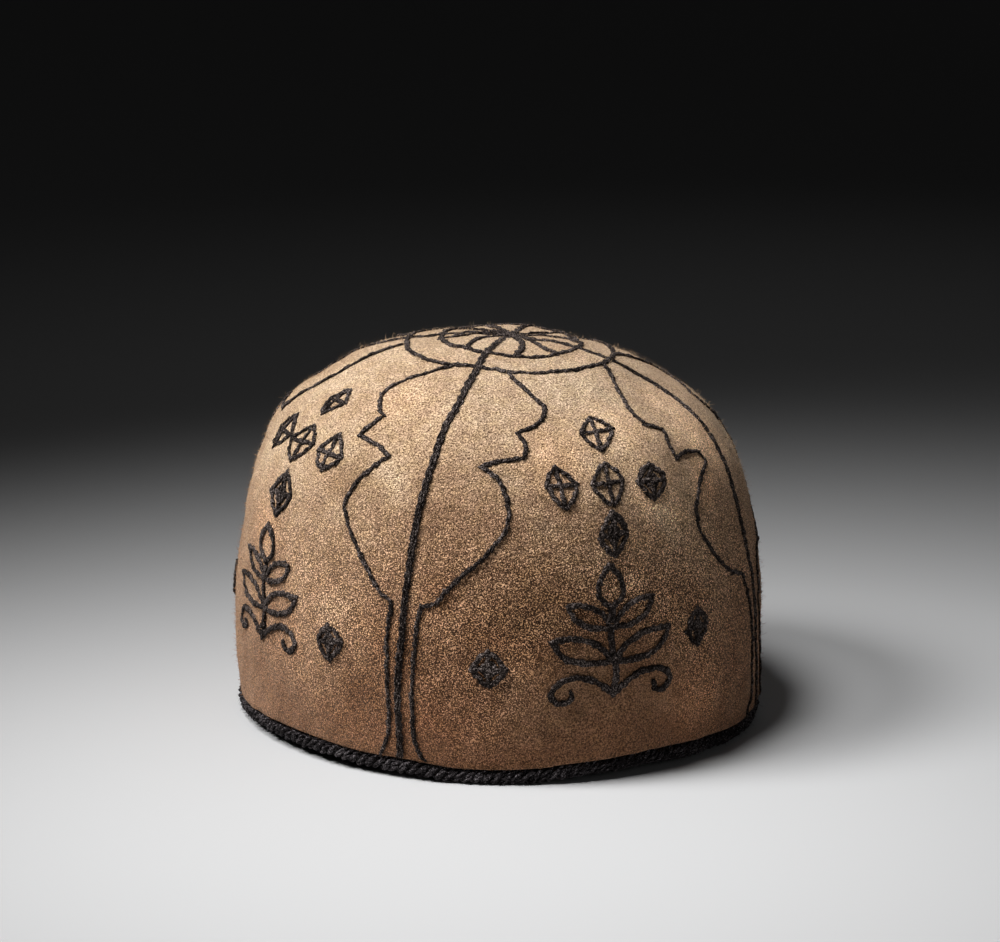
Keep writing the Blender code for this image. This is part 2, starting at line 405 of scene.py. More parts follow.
STAINS = (
    # azimuth, mm down from the meeting point, radius in metres
    (16.5, 171.5, 0.0042),
    (9.5, 177.2, 0.0034),
    (2.0, 160.0, 0.0030),
)
STAIN_COLOUR = (0.07, 0.04, 0.022, 1.0)
STAIN_STRENGTH = 0.55

# %% The felt's grain
GRAIN = ((1750.0, 0.8), (3400.0, 0.2))  # how many lumps a metre, and their share
SAND_PER_METRE = 2300.0
SMOOTH_GRAIN = (
    # the noise's value, and what the colour is multiplied by there
    (0.38, (0.25, 0.195, 0.155)), (0.50, (0.93, 0.915, 0.90)), (0.61, (1.88, 1.91, 1.95)),
)
# The grain with painted shading, as if lit from the side: bright flecks and dark pits.
SHADED_GRAIN = (
    (0.38, (0.055, 0.029, 0.018)), (0.48, (0.30, 0.225, 0.175)), (0.56, (1.27, 1.15, 1.06)),
    (0.64, (4.3, 4.5, 4.75)),
)
GRAIN_SHADE_BY_HEIGHT = (
    # height in metres, and how much painted grazing-light shading the grain has there
    (0.006, 0.45), (0.028, 0.90), (0.050, 1.08), (0.070, 0.92), (0.098, 0.40), (0.122, 0.05),
)
GRAIN_SHADE_BY_SIDE = (-0.09, 0.04, 0.58, 1.0)  # x from and to, and the shares there
CALM_PLACE = (24, 178)  # azimuth and mm down of the spot where the painted grain shading fades
CALM_RADII = (0.0126, 0.042)  # calm within the first, untouched beyond the second
CALM_SHARE = 0.05  # how much of the painted grain shading is left there
HUES = (
    # single lumps are yellower or redder
    (0.40, (1.02, 1.01, 0.94)), (0.50, (1.0, 0.985, 0.96)), (0.60, (1.0, 0.965, 0.96)),
)
GRAIN_DEPTH = 0.0009  # of the bump, in metres

# %% The felt's finish


def by_height(height, rows):
    """Maps a height in metres to colours, by rows of (height, colour)."""
    return ramp(height / TINT_TOP, *[(z / TINT_TOP, colour) for z, colour in rows])


def felt_tone_and_painted_light(where):
    """The felt's colour before its grain: cloudy, darker near the rim and lighter at the crown,
    partly from handling and partly painted light and shade, and patched with painted light and
    shade.
    """
    clouds = noise(where, CLOUDS[0], 3.0)
    mottle = clouds * CLOUDS[1] + noise(where, BLOTCHES[0], 3.0) * BLOTCHES[1]
    colour = ramp(mottle, (0.16, FELT_DARK), (0.47, FELT_MIDDLE), (0.76, FELT_LIGHT))
    # The tint by height: partly handling, partly painted shade low down and painted light at the
    # crown.
    height = part_of(where, "Z") + (clouds * CLOUDY_HEIGHT - CLOUDY_HEIGHT / 2)
    colour = tinted(colour, by_height(height, HEIGHT_WEAR_AND_SHADE))
    # Soft patches of painted light and shade, with some of the felt's own uneven tone; deeper
    # painted shade is also warmer.
    shade = 1.0
    for azimuth, down, radius, factor in LIGHT_AND_TONE_PATCHES:
        away = away_from(where, azimuth, down)
        shade = shade + ranged(away, 0.0, radius / 1000, factor - 1, 0.0, "SMOOTHSTEP")
    return tinted(colour * shade, ramp(shade / 2.0, *PATCH_WARMTH))


def stained(colour, where):
    for azimuth, down, radius in STAINS:
        ragged = noise(where, 380.0, 3.0) * (1.2 * radius)
        away = away_from(where, azimuth, down) + ragged
        inside = ranged(away, 0.5 * radius, 1.6 * radius, STAIN_STRENGTH, 0.0)
        colour = mixed(inside, colour, STAIN_COLOUR)
    return colour


def grain_shade_share(where):
    """How much painted shading the grain has, as if lit from the side: nearly 0 at the crown, 1 low
    down and to the right.
    """
    calm_spot = ranged(away_from(where, *CALM_PLACE), *CALM_RADII, CALM_SHARE, 1.0)
    sides = ranged(part_of(where, "X"), *GRAIN_SHADE_BY_SIDE)
    heights = by_height(part_of(where, "Z"), [(z, (share,) * 3) for z, share in GRAIN_SHADE_BY_HEIGHT])
    return calm_spot * sides * heights


def felt_finish():
    finish, where = new_finish("felt", roughness=0.95, sheen=0.20, sheen_roughness=0.45,
                               sheen_tint=(1.0, 0.84, 0.66), specular=0.10)
    colour = stained(felt_tone_and_painted_light(where), where)
    coarse, fine = (noise(where, per_metre, 2.0, 0.6) * share for per_metre, share in GRAIN)
    lumps = coarse + fine
    sand = noise(where, SAND_PER_METRE, 1.0)
    # Where the share is high, the grain's painted shading, as by grazing light, takes over from its
    # own smooth lumps.
    grain = mixed(grain_shade_share(where), ramp(lumps, *SMOOTH_GRAIN), ramp(sand, *SHADED_GRAIN))
    colour = tinted(tinted(colour, grain), ramp(noise(where, 260.0, 2.0, 0.6), *HUES))
    return painted(finish, colour, lumps, GRAIN_DEPTH)


felt = felt_finish()

# %% The loose fibres' finish
DULL_FIBRE = (0.62, 0.58, 0.54)
PALE_FIBRE = (1.65, 1.62, 1.55)


def fibre_finish():
    """Loose fibres have the felt's colour, with its painted light and shade, each a little lighter
    or darker than its neighbour.
    """
    finish, where = new_finish("felt_fibre", roughness=0.85, sheen=0.0, sheen_roughness=0.5,
                               sheen_tint=(1.0, 1.0, 1.0), specular=0.2)
    shade = out(node(where.tree, "ShaderNodeAttribute", attribute_name="shade"), "Fac")
    each = ramp(shade, (0.0, DULL_FIBRE), (1.0, PALE_FIBRE))
    return painted(finish, tinted(felt_tone_and_painted_light(where), each))


felt_fibre = fibre_finish()

# %% [markdown]
# The wool is dyed black. It is hairier than it is glossy, so most of what we see is its fine
# streaks: some hairs catch the light and read as charcoal. The thin cords and threads have faded
# a little browner than the thick rim cord.

# %% The black wool's finish
CORD_WOOL = ((0.0048, 0.0036, 0.0040), (0.018, 0.0145, 0.0155), (0.185, 0.165, 0.172))
THREAD_WOOL = ((0.0036, 0.0023, 0.0018), (0.0180, 0.0122, 0.0100), (0.245, 0.200, 0.184))
WOOL_STOPS = (0.43, 0.53, 0.65)
WOOL_DEPTH = 0.0004


def wool_finish(name, tones):
    """Black wool, with a dark, a middle and a light tone."""
    finish, where = new_finish(name, roughness=0.9, sheen=0.03, sheen_roughness=0.4,
                               sheen_tint=(1.0, 0.9, 0.88), specular=0.08)
    hairs = noise(where, 2000.0, 2.0, 0.7)
    colour = ramp(hairs * 0.8 + noise(where, 90.0) * 0.2, *zip(WOOL_STOPS, tones))
    return painted(finish, colour, hairs, WOOL_DEPTH)


cord_wool = wool_finish("cord_wool", CORD_WOOL)
thread_wool = wool_finish("thread_wool", THREAD_WOOL)

# %% [markdown]
# ## The felt shell
# The felt could be a Screw modifier on the curve, but its rings would crowd at the crown and be
# sparse at the waist. We place the rings ourselves, and double the number of points in a ring
# where it grows, so that all faces are about a millimetre and a half. The same chain of rings
# goes down the outside, round the cut edge and up the inside, so the shell is closed. Hand
# moulding leaves the wall slightly uneven, so we add a few slow waves along its normal.

# %% Unevenness of the hand-moulded wall
SLOW_WAVES = (0.00016, 0.024, 0.060, 9)  # height of each, shortest and longest, how many
SHORT_WAVES = (0.000045, 0.0055, 0.011, 14)


def wave_set(seed, height, shortest, longest, count):
    chance = np.random.default_rng(seed)
    ways = chance.normal(size=(count, 3))
    ways /= np.linalg.norm(ways, axis=1)[:, None]
    lengths = chance.uniform(shortest, longest, count)
    return height, math.tau * ways / lengths[:, None], chance.uniform(0, math.tau, count)


wave_sets = [wave_set(11, *SLOW_WAVES), wave_set(12, *SHORT_WAVES)]


def unevenness(points):
    return sum(h * np.sin(points @ ways.T + phase).sum(axis=-1) for h, ways, phase in wave_sets)


def dome_normals(azimuth, down):
    step, turn = 0.0002, 0.2
    along = dome(azimuth, np.minimum(down + step, FELT_LENGTH)) - dome(azimuth, down - step)
    across = dome(azimuth + turn, down) - dome(azimuth - turn, down)
    normals = np.cross(along, across)
    return normals / np.linalg.norm(normals, axis=-1, keepdims=True)


# %% Rings of the shell
RING_STEP = 0.0014
INNER_RING_STEP = 0.0036
RING_POINTS = 400  # where the cap is wide; half and a quarter of it higher up
WIDE_RING = 0.052  # the radius over which a ring has all its points
MIDDLE_RING = 0.026  # and the one over which it has half
EDGE_ANGLES = (30, 60, 90, 120, 150)
EDGE_DEPTH = 0.0009  # how far the cut edge is rounded
EDGE_DROP = 0.0005  # how far the felt beds down onto the rim cord
DROP_FROM, DROP_LENGTH = 0.150, 0.040  # where along the felt that starts, and over how far
TOP_RISE, UNDER_RISE = 0.00001, 0.00006  # the crown's middle points over their rings


def ring_points(radius, most):
    share = 1 if radius > WIDE_RING else 2 if radius > MIDDLE_RING else 4
    return most // share


def ring(count, down, depth=0.0, drop=0.0):
    """A ring round the dome, this deep in the wall and dropped this far along it."""
    azimuth = np.arange(count) * 360 / count - 180
    down = np.full(count, down)
    place, normal = dome(azimuth, down), dome_normals(azimuth, down)
    place = place + normal * unevenness(place)[:, None]
    lower = np.clip((down - DROP_FROM) / DROP_LENGTH, 0, 1) * EDGE_DROP + drop
    place[:, 2] -= lower
    return place - normal * depth


def shell_rings():
    rings = []
    outer_end = FELT_LENGTH - EDGE_DEPTH
    for down in np.linspace(RING_STEP, outer_end, round(outer_end / RING_STEP)):
        rings.append(ring(ring_points(np.interp(down, curve_down, curve_radius), RING_POINTS), down))
    outer_rings = len(rings)
    for angle in np.radians(EDGE_ANGLES):
        depth = FELT_THICKNESS / 2 * (1 - math.cos(angle))
        rings.append(ring(RING_POINTS, outer_end, depth, EDGE_DEPTH * math.sin(angle)))
    inner_steps = round(outer_end / INNER_RING_STEP)
    for down in np.linspace(outer_end, INNER_RING_STEP, inner_steps):
        most = RING_POINTS if down == outer_end else RING_POINTS // 2
        count = ring_points(np.interp(down, curve_down, curve_radius), most)
        rings.append(ring(count, down, FELT_THICKNESS))
    return rings, outer_rings


def joined(rings):
    """Faces between rings one after another. All of them face outwards."""
    starts = np.concatenate([[0], np.cumsum([len(r) for r in rings])])
    faces = []
    for upper, lower, n, m in zip(starts, starts[1:], map(len, rings), map(len, rings[1:])):
        for i in range(min(n, m)):
            j = (i + 1) % min(n, m)
            if n == m:
                faces.append((upper + i, lower + i, lower + j, upper + j))
            elif n < m:
                middle, after = lower + 2 * i + 1, lower + (2 * i + 2) % m
                faces.append((upper + i, lower + 2 * i, middle))
                faces.append((upper + i, middle, upper + j))
                faces.append((upper + j, middle, after))
            else:
                middle, after = upper + 2 * i + 1, upper + (2 * i + 2) % n
                faces.append((upper + 2 * i, lower + i, middle))
                faces.append((middle, lower + i, lower + j))
                faces.append((middle, lower + j, after))
    return faces, starts


def new_piece(name, points, faces=(), edges=(), finish=None):
    data = bpy.data.meshes.new(name)
    data.from_pydata([tuple(p) for p in points], list(edges), list(faces))
    if finish:
        data.materials.append(finish)
    data.shade_smooth()
    piece = bpy.data.objects.new(name, data)
    bpy.context.scene.collection.objects.link(piece)
    return piece


def mark_points(piece, name, values):
    """Stores a number or a vector for each of a piece's points."""
    values = np.asarray(values, np.float32)
    kind, field = ("FLOAT_VECTOR", "vector") if values.ndim == 2 else ("FLOAT", "value")
    piece.data.attributes.new(name, kind, "POINT").data.foreach_set(field, values.ravel())


def triangles_of(piece):
    return sum(len(polygon.vertices) - 2 for polygon in piece.data.polygons)


# %% Felt shell
rings, outer_rings = shell_rings()
faces, starts = joined(rings)
first, last = len(rings[0]), len(rings[-1])
points = np.vstack(rings)
top = int(starts[-1])
under = top + 1
top_place = rings[0].mean(axis=0) + (0, 0, TOP_RISE)
under_place = rings[-1].mean(axis=0) + (0, 0, UNDER_RISE)
points = np.vstack([points, top_place, under_place])
faces += [(top, i, (i + 1) % first) for i in range(first)]
inner_start = int(starts[-2])
faces += [(inner_start + i, under, inner_start + (i + 1) % last) for i in range(last)]

felt_shell = new_piece("felt_shell", points, faces, finish=felt)
outer_points = int(starts[outer_rings])
is_outer = np.arange(len(points)) < outer_points
is_outer[top] = True
mark_points(felt_shell, "outer", is_outer)
print("felt shell:", len(points), "points,", triangles_of(felt_shell), "triangles")

# %% [markdown]
# ## Laying work on the felt
# The cords and stitches follow lines that are drawn on the felt. A line is a row of places,
# each an azimuth in degrees and a way down in millimetres. We draw a smooth curve through
# them, then find the nearest point of the finished shell for each of its points, so the work
# lies on the real surface with its unevenness, and we keep the surface normal there.

# %% Lines on the felt
outer_faces = [face for face in faces if all(is_outer[i] for i in face)]
felt_surface = BVHTree.FromPolygons([tuple(p) for p in points], outer_faces)


def smooth_line(places, steps=8):
    """A smooth curve through (azimuth, mm down) places."""
    rows = np.array(places, float)
    if len(rows) == 2:
        return rows[0] + (rows[1] - rows[0]) * np.linspace(0, 1, 3 * steps)[:, None]
    rows = np.vstack([2 * rows[0] - rows[1], rows, 2 * rows[-1] - rows[-2]])
    t = np.arange(steps)[:, None] / steps
    spans = []
    for a, b, c, d in zip(rows, rows[1:], rows[2:], rows[3:]):
        bend = (2 * a - 5 * b + 4 * c - d) * t**2 + (3 * b - 3 * c + d - a) * t**3
        spans.append(0.5 * (2 * b + (c - a) * t + bend))
    return np.vstack([*spans, rows[-2:-1]])


KNOT_PLACE = (0.2, -1.2)  # mm, x and y from the meeting point to where the lines cross


def from_flat(places):
    """Places of a flat drawing of the crown, x to the right and y to the back in mm, as
    (azimuth, mm down)."""
    x, y = np.array(places, float).T
    return np.stack([np.degrees(np.arctan2(x, -y)), np.hypot(x, y)], axis=-1)


def to_flat(line):
    angle = np.radians(line[:, 0])
    return np.stack([line[:, 1] * np.sin(angle), -line[:, 1] * np.cos(angle)], axis=-1)


def laid(line, height):
    """The points of a line at this height over the felt, and the felt's normals there."""
    wanted = panels(line[:, 0], line[:, 1] / 1000)
    found = [felt_surface.find_nearest(tuple(point)) for point in wanted]
    places = np.array([tuple(place) for place, *_ in found])
    normals = np.array([tuple(normal) for _, normal, *_ in found])
    if len(normals) > 4:
        padded = np.vstack([normals[:1], normals[:1], normals, normals[-1:], normals[-1:]])
        normals = sum(padded[i : i + len(normals)] for i in range(5))
    normals /= np.linalg.norm(normals, axis=1)[:, None]
    return places + normals * np.reshape(height, (-1, 1)), normals


def lines_piece(name, lines):
    """A wire of several lines. Each is (points, normals, width). Geometry Nodes grow on it."""
    points = np.vstack([line[0] for line in lines])
    normals = np.vstack([line[1] for line in lines])
    widths = np.concatenate([np.full(len(line[0]), line[2]) for line in lines])
    edges, start = [], 0
    for line in lines:
        count = len(line[0])
        edges += [(start + i, start + i + 1) for i in range(count - 1)]
        start += count
    piece = new_piece(name, points, edges=edges)
    mark_points(piece, "felt_normal", normals)
    mark_points(piece, "width", widths)
    return piece


# %% [markdown]
# ## A plied cord, with Geometry Nodes
# A cord is plies twisted together, and each ply is yarns twisted the other way. The tree copies
# the guide line once for each yarn, then moves each copy's points along two circles, one in the
# other: the ply's round the cord, and the yarn's round the ply. The angle grows along the line,
# so the circles become helices. Flatness presses the cord against the felt. Waver lets each yarn
# stray a little, and Ragged roughens the finished surface, so that it looks spun and not cast.

# %% Helpers for Geometry Nodes
SOCKET_KINDS = {int: "NodeSocketInt", float: "NodeSocketFloat"}
HALF = (0.5, 0.5, 0.5)  # the middle of a noise's colour
RAGGED_PER_METRE = 1300.0
DEGREE = math.pi / 180


def new_tree(name, **sizes):
    """A Geometry Nodes tree with named inputs. Returns it and its inputs, as size.some_name."""
    tree = bpy.data.node_groups.new(name, "GeometryNodeTree")
    sockets = tree.interface
    sockets.new_socket("Geometry", in_out="OUTPUT", socket_type="NodeSocketGeometry")
    sockets.new_socket("Geometry", in_out="INPUT", socket_type="NodeSocketGeometry")
    for label, value in sizes.items():
        socket = sockets.new_socket(label.replace("_", " ").title(), in_out="INPUT",
                                    socket_type=SOCKET_KINDS[type(value)])
        socket.default_value = value
    sockets.new_socket("Finish", in_out="INPUT", socket_type="NodeSocketMaterial")
    source = tree.nodes.new("NodeGroupInput")
    return tree, SimpleNamespace(**{plain(s.name): Value(s) for s in source.outputs if s.name})


def plain(label):
    return label.lower().replace(" ", "_")


def vector_of(tree, **parts):
    return result(tree, "ShaderNodeCombineXYZ", parts)


def named(tree, name, kind="FLOAT"):
    return result(tree, "GeometryNodeInputNamedAttribute", {"Name": name}, data_type=kind)


def along_line(tree):
    """How far along its line a point is, from 0 to 1."""
    return out(node(tree, "GeometryNodeSplineParameter"), "Factor")


def guide_line(wire, step):
    """The guide as curves with a point at every step."""
    line = result(wire.tree, "GeometryNodeMeshToCurve", {"Mesh": wire})
    return result(wire.tree, "GeometryNodeResampleCurve", {"Curve": line, "Length": step},
                  mode="LENGTH")


def tube(line, sides, radius, scale=1.0):
    """A closed tube round a line."""
    section = result(line.tree, "GeometryNodeCurvePrimitiveCircle",
                     {"Resolution": sides, "Radius": radius})
    return result(line.tree, "GeometryNodeCurveToMesh", {
        "Curve": line, "Profile Curve": section, "Scale": scale, "Fill Caps": True})


def moved(grown, offset):
    return result(grown.tree, "GeometryNodeSetPosition", {"Geometry": grown, "Offset": offset})


def turned_by(rotation, **angles):
    """A rotation turned further about its own axes, by angles in radians."""
    tree = rotation.tree
    turn = result(tree, "FunctionNodeEulerToRotation", {"Euler": vector_of(tree, **angles)})
    return result(tree, "FunctionNodeRotateRotation",
                  {"Rotation": rotation, "Rotate By": turn}, rotation_space="LOCAL")


def end_tree(size, grown, ragged=None):
    """Realizes what has grown, roughens it where asked, gives it the finish and ends the tree."""
    tree = grown.tree
    real = result(tree, "GeometryNodeRealizeInstances", {"Geometry": grown})
    if ragged is not None:
        place = result(tree, "GeometryNodeInputPosition")
        real = moved(real, (noise(place, RAGGED_PER_METRE, 1.0, which="Color") - HALF) * ragged)
    smooth = result(tree, "GeometryNodeSetShadeSmooth", {"Geometry": real})
    dressed = result(tree, "GeometryNodeSetMaterial", {"Geometry": smooth, "Material": size.finish})
    tree.links.new(dressed.socket, tree.nodes.new("NodeGroupOutput").inputs[0])


# %% Tree for a plied cord


def cord_tree():
    tree, size = new_tree(
        "plied cord", plies=3, yarns=3, ply_circle=0.001, yarn_circle=0.0005, yarn_radius=0.0003,
        ply_turns=10.0, yarn_turns=20.0, flatness=1.0, step=0.0005, waver=0.0001, yarn_sides=5,
        ragged=0.0,
    )
    copies = node(tree, "GeometryNodeDuplicateElements", {
        "Geometry": guide_line(size.geometry, size.step), "Amount": size.plies * size.yarns},
        domain="SPLINE")
    index = out(copies, "Duplicate Index")
    ply = worked("FLOOR", index / size.yarns)
    yarn = worked("MODULO", index, size.yarns)
    along = along_line(tree)
    ply_turn = along * size.ply_turns + ply / size.plies
    yarn_turn = yarn / size.yarns - along * size.yarn_turns + ply_turn
    out_way = worked("NORMALIZE", named(tree, "felt_normal", "FLOAT_VECTOR"))
    line_way = result(tree, "GeometryNodeInputTangent")
    side_way = worked("NORMALIZE", worked("CROSS_PRODUCT", line_way, out_way))

    def on_circles(wave):
        """How far a yarn is off the guide, by the cosine or the sine of its two turns."""
        return (worked(wave, ply_turn * math.tau) * size.ply_circle
                + worked(wave, yarn_turn * math.tau) * size.yarn_circle)

    offset = side_way * on_circles("COSINE") + out_way * (on_circles("SINE") * size.flatness)
    place = result(tree, "GeometryNodeInputPosition") + vector_of(tree, X=index, Y=index) * 0.37
    loose = noise(place, 260.0, 1.0, which="Color") - HALF
    strayed = moved(out(copies, "Geometry"), offset + loose * size.waver)
    end_tree(size, tube(strayed, size.yarn_sides, size.yarn_radius), size.ragged)
    return tree


plied_cord = cord_tree()


def grow(piece, tree, **sizes):
    """Runs a tree on a piece, and leaves it a plain mesh."""
    modifier = piece.modifiers.new(tree.name, "NODES")
    modifier.node_group = tree
    for socket in tree.interface.items_tree:
        if socket.in_out == "INPUT" and plain(socket.name) in sizes:
            modifier[socket.identifier] = sizes[plain(socket.name)]
    bpy.context.view_layer.update()
    graph = bpy.context.evaluated_depsgraph_get()
    grown = bpy.data.meshes.new_from_object(piece.evaluated_get(graph), depsgraph=graph)
    piece.modifiers.clear()
    wire = piece.data
    piece.data = grown
    grown.name = piece.name
    bpy.data.meshes.remove(wire)
    print(piece.name + ":", triangles_of(piece), "triangles")
    return piece


# %% [markdown]
# ## The rim cord
# Three thick plies of four yarns, sewn under the felt's edge all the way round. Its underside
# is pressed flat where the cap stands, so points that would go below that are moved up to it.

# %% Rim cord
RIM_PLY_TURNS = 60.0
RIM_YARN_TURNS = 84.0
RIM_GUIDE_POINTS = 720


def rim_guide():
    azimuth = np.arange(RIM_GUIDE_POINTS) * 360 / RIM_GUIDE_POINTS - 180
    radius = rim_cord_radius + rim_stretch(azimuth)
    angle = np.radians(azimuth)
    height = RIM_CORD_THICKNESS / 2 - RIM_CORD_FLAT + rim_lift(azimuth)
    return np.stack([radius * np.sin(angle), -radius * np.cos(angle), height], axis=-1)


guide = rim_guide()
upwards = np.tile((0.0, 0.0, 1.0), (len(guide), 1))
rim_cord = lines_piece("rim_cord_plied", [(guide, upwards, 1.0)])
rim_cord.data.edges.add(1)
rim_cord.data.edges[-1].vertices = (len(guide) - 1, 0)
grow(rim_cord, plied_cord, plies=3, yarns=4, ply_circle=0.00148, yarn_circle=0.00076,
     yarn_radius=0.00058, ply_turns=RIM_PLY_TURNS, yarn_turns=RIM_YARN_TURNS, flatness=1.0,
     step=0.00062, waver=0.0020, yarn_sides=6, ragged=0.0012, finish=cord_wool)


def mesh_points(piece):
    places = np.empty(len(piece.data.vertices) * 3)
    piece.data.vertices.foreach_get("co", places)
    return places.reshape(-1, 3)


def set_points(piece, places):
    piece.data.vertices.foreach_set("co", places.ravel())
    piece.data.update()


places = mesh_points(rim_cord)
ground = rim_lift(np.degrees(np.arctan2(places[:, 0], -places[:, 1])))
places[:, 2] = np.maximum(places[:, 2], ground)
set_points(rim_cord, places)
print("rim cord stands on", round(1000 * places[:, 2].min(), 3), "mm")

# %% [markdown]
# ## The seam cords
# Four flatter cords of three plies. Each starts at the meeting point, runs down the felt and
# ends behind the rim cord. The three middle plies show as slanted strands.

# %% Seam cords
SEAM_START = 4.0  # mm from the meeting point; nearer, the cord runs straight to the knot
SEAM_END = 190.0
SEAM_POINTS = 180
KNOT_STEPS = 4  # points from the knot to the start of the line
SEAM_HEIGHTS = ((2, -0.0003), (14, 0.0001), (34, 0.0004))  # mm from the knot, metres over the felt
SEAM_TOPS = {"front": 0.0004, "right": 0.0, "back": 0.0002, "left": -0.0001}
SEAMS = {
    "front": ((-24, 4), (-18.5, 14), (-16, 26), (-14.5, 38), (-14, 58), (-15, 70), (-16, 87),
              (-18, 105), (-19, 121), (-20, 141), (-21, 162), (-21, 190.1)),
    "right": ((74, 4), (67.5, 14), (63, 26), (66, 39), (70, 48), (71, 58), (70, 70), (69, 91),
              (68, 108), (69, 122), (71, 140), (72, 160), (74, 190.1)),
    "back": ((167, 4), (166, 16), (163, 30), (161, 44), (162, 80), (163, 130), (165, 190.1)),
    "left": ((-119, 4), (-114, 13), (-108, 19), (-104, 26), (-104, 42), (-107, 82), (-108, 136),
             (-109, 190.1)),
}


def seam_azimuth(name, down):
    rows = np.array(SEAMS[name], float)
    return np.interp(down, rows[:, 1], rows[:, 0])


def seam_line(name):
    down = np.linspace(SEAM_START, SEAM_END, SEAM_POINTS)
    rows = smooth_line(SEAMS[name])
    line = np.stack([np.interp(down, rows[:, 1], rows[:, 0]), down], axis=-1)
    share = np.arange(KNOT_STEPS)[:, None] / KNOT_STEPS
    knot = np.array(KNOT_PLACE)
    return np.vstack([from_flat(knot + (to_flat(line[:1]) - knot) * share), line])


seam_cords = {}
for name in SEAMS:
    line = seam_line(name)
    height = np.minimum(np.interp(line[:, 1], *np.transpose(SEAM_HEIGHTS)), SEAM_TOPS[name])
    line = laid(line, height)
    cord = lines_piece("seam_cord_" + name + "_plied", [(*line, 1.0)])
    grow(cord, plied_cord, plies=3, yarns=3, ply_circle=0.00078, yarn_circle=0.00037,
         yarn_radius=0.00030, ply_turns=14.0, yarn_turns=30.0, flatness=0.42, step=0.0005,
         waver=0.0006, yarn_sides=5, ragged=0.0008, finish=thread_wool)
    seam_cords[name] = cord

# %% [markdown]
# ## Stem stitch, with Geometry Nodes
# The thin lines are stem stitch: short threads laid one after another, each starting half way
# along the one before and slanting a little across the line, so that the row looks like a thin
# rope. The tree spaces points along the guide and sets one thread on each, turned to the line
# and standing on the felt. Both ends of a thread dive into the felt.

# %% Tree for stem stitch
THREAD_POINTS = 6
THREAD_SIDES = 6


def stitch_shape(tree):
    """One thread along X, one unit long and one unit thick, arched, with tapering ends."""
    line = result(tree, "GeometryNodeCurvePrimitiveLine",
                  {"Start": (-0.5, 0.0, 0.0), "End": (0.5, 0.0, 0.0)})
    line = result(tree, "GeometryNodeResampleCurve", {"Curve": line, "Count": THREAD_POINTS})
    from_middle = worked("ABSOLUTE", along_line(tree) * 2.0 - 1.0)
    full = 1.0 - worked("POWER", from_middle, 2.4)
    arched = moved(line, vector_of(tree, Z=(full - 0.55) * 0.75))
    return tube(arched, THREAD_SIDES, 1.0, full * 0.34 + 0.16)


def chance(low, high, seed):
    """A random number for each element."""
    return result(seed.tree, "FunctionNodeRandomValue", {"Min": low, "Max": high, "Seed": seed})


def stitch_tree():
    tree, size = new_tree("stem stitch", spacing=0.0013, length=0.003, thickness=0.0009,
                          flatness=0.6, slant=14.0, waver=0.0001, ragged=0.0, seed=1)
    seed = size.seed
    along = result(tree, "FunctionNodeAlignRotationToVector",
                   {"Vector": result(tree, "GeometryNodeInputTangent")}, axis="X")
    stood = result(tree, "FunctionNodeAlignRotationToVector", {
        "Rotation": along, "Vector": named(tree, "felt_normal", "FLOAT_VECTOR")},
        axis="Z", pivot_axis="X")
    slant = size.slant * DEGREE * chance(0.6, 1.4, seed)
    turned = turned_by(stood, X=chance(-0.5, 0.5, seed + 5.0), Z=slant)
    width = named(tree, "width")
    length = size.length * chance(0.85, 1.15, seed + 1.0)
    thick = size.thickness * width * chance(0.7, 1.25, seed + 2.0)
    flat = size.thickness * size.flatness * worked("POWER", width, 0.3)
    ways = {letter: chance(-1.0, 1.0, seed + number) for letter, number in zip("XYZ", (6, 7, 8))}
    line = guide_line(size.geometry, size.spacing)
    threads = result(tree, "GeometryNodeInstanceOnPoints", {
        "Points": moved(line, vector_of(tree, **ways) * size.waver),
        "Instance": stitch_shape(tree), "Rotation": turned,
        "Scale": vector_of(tree, X=length, Y=thick, Z=flat)})
    end_tree(size, threads, size.ragged)
    return tree


stem_stitch = stitch_tree()

# %% [markdown]
# ## The drawing on the felt
# All of it is drawn with the same needle. Round the crown is a rosette of twelve petals: a
# ring, four cords and eight curved spokes. A second ring holds it. On both sides of each cord a
# cusped outline runs down and ends in two lines beside the cord, so two neighbours frame a
# panel like an arch.

# %% Rosette and rings


def ring_line(rows):
    """A closed line round the meeting point, at (azimuth, mm down) places."""
    rows = [(a - 360, d) for a, d in rows] + list(rows) + [(a + 360, d) for a, d in rows]
    full = smooth_line(sorted(rows))
    azimuth = np.arange(-180.0, 181.0, RING_LINE_STEP)
    return np.stack([azimuth, np.interp(azimuth, full[:, 0], full[:, 1])], axis=-1)


